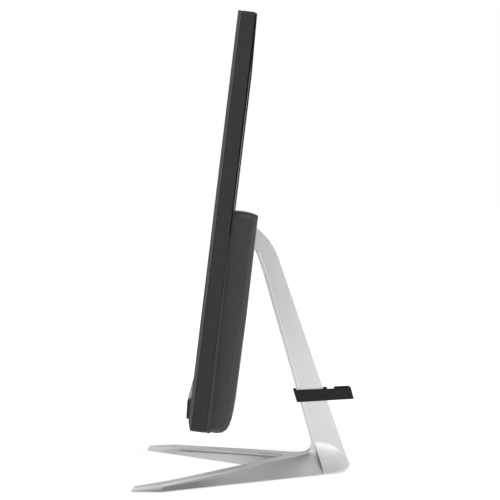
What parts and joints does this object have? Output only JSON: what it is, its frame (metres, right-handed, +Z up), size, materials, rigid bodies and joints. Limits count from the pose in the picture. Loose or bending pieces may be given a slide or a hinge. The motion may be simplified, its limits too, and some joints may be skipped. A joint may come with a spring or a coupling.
{
  "type": "all in one pc",
  "caption": "Slim all-in-one desktop computer: tilting display with the computer in its thicker lower half, fin neck with cable clip, V-shaped metal foot.",
  "frame": {"origin": "on the resting surface, in the middle of the footprint box", "axes": "+Z up, -Y the side the screen faces, +X the user's right"},
  "size_m": [0.5404, 0.217, 0.4307],
  "materials": {
    "black_plastic": "fine matte texture",
    "silver_plastic": "satin silver paint",
    "white_plastic": "plain moulded frame",
    "screen": "dark anti-glare glass, display off",
    "satin_aluminium": "fine bead-blasted satin",
    "steel": "plain plated sheet",
    "copper": "drawn copper",
    "circuit_board": "solder mask",
    "polyimide_film": "thin flexible film",
    "rubber": "matte"
  },
  "bodies": {
    "stand": {"foot_casting": "satin_aluminium", "neck_shell": "satin_aluminium", "joint_plate": "steel", "joint_screw_1": "steel", "joint_screw_2": "steel", "joint_screw_3": "steel", "joint_screw_4": "steel", "tip_pad_left": "rubber", "tip_pad_right": "rubber", "heel_pad_left": "rubber", "heel_pad_right": "rubber"},
    "display": {"front_bezel": "black_plastic", "panel_back_cover": "black_plastic", "rear_housing": "black_plastic", "chin_speaker_bar": "black_plastic", "speaker_left": "black_plastic", "speaker_right": "black_plastic", "blower_housing": "black_plastic", "usb_stack_1": "black_plastic", "usb_stack_2": "black_plastic", "chin_trim": "silver_plastic", "lcd_panel": "screen", "fin_stack": "satin_aluminium", "backlight_unit": "white_plastic", "chassis_plate": "steel", "hard_drive": "steel", "drive_bracket": "steel", "dc_inlet": "steel", "hdmi_port": "steel", "lan_port": "steel", "audio_jack": "steel", "cover_screw_1": "steel", "cover_screw_2": "steel", "cover_screw_3": "steel", "cover_screw_4": "steel", "hinge_bracket": "steel", "hinge_shaft": "steel", "friction_washer_left": "steel", "friction_washer_right": "steel", "hinge_nut": "steel", "cpu_cold_plate": "copper", "heat_pipe": "copper", "camera_module": "circuit_board", "button_board": "circuit_board", "mainboard": "circuit_board", "memory_module_1": "circuit_board", "memory_module_2": "circuit_board", "ssd_card": "circuit_board", "wifi_card": "circuit_board", "display_cable": "polyimide_film"},
    "fan": {"fan_rotor": "black_plastic"},
    "power_button": {"power_button": "silver_plastic"},
    "camera_shutter": {"camera_shutter": "black_plastic"},
    "cable_clip": {"cable_clip": "black_plastic"}
  },
  "joints": [
    {"name": "display_tilt", "type": "hinge", "parent": "stand", "child": "display", "pos_m": [0, -0.00535, 0.238], "axis": [-1, 0, 0], "range_deg": [-12, 13]},
    {"name": "fan_spin", "type": "hinge", "parent": "display", "child": "fan", "pos_m": [0.12, -0.01506, 0.18277], "axis": [0, 0.9928, -0.1201], "continuous": true},
    {"name": "power_press", "type": "slide", "parent": "display", "child": "power_button", "axis": [0, 0.1201, 0.9928], "range_m": [0, 0.0008], "stiffness_N_per_m": 500, "springref_m": -0.001},
    {"name": "shutter_slide", "type": "slide", "parent": "display", "child": "camera_shutter", "axis": [-1, 0, 0], "range_m": [0, 0.0075]},
    {"name": "clip_slide", "type": "slide", "parent": "stand", "child": "cable_clip", "axis": [0, -0.3236, 0.9462], "range_m": [0, 0.03]}
  ]
}
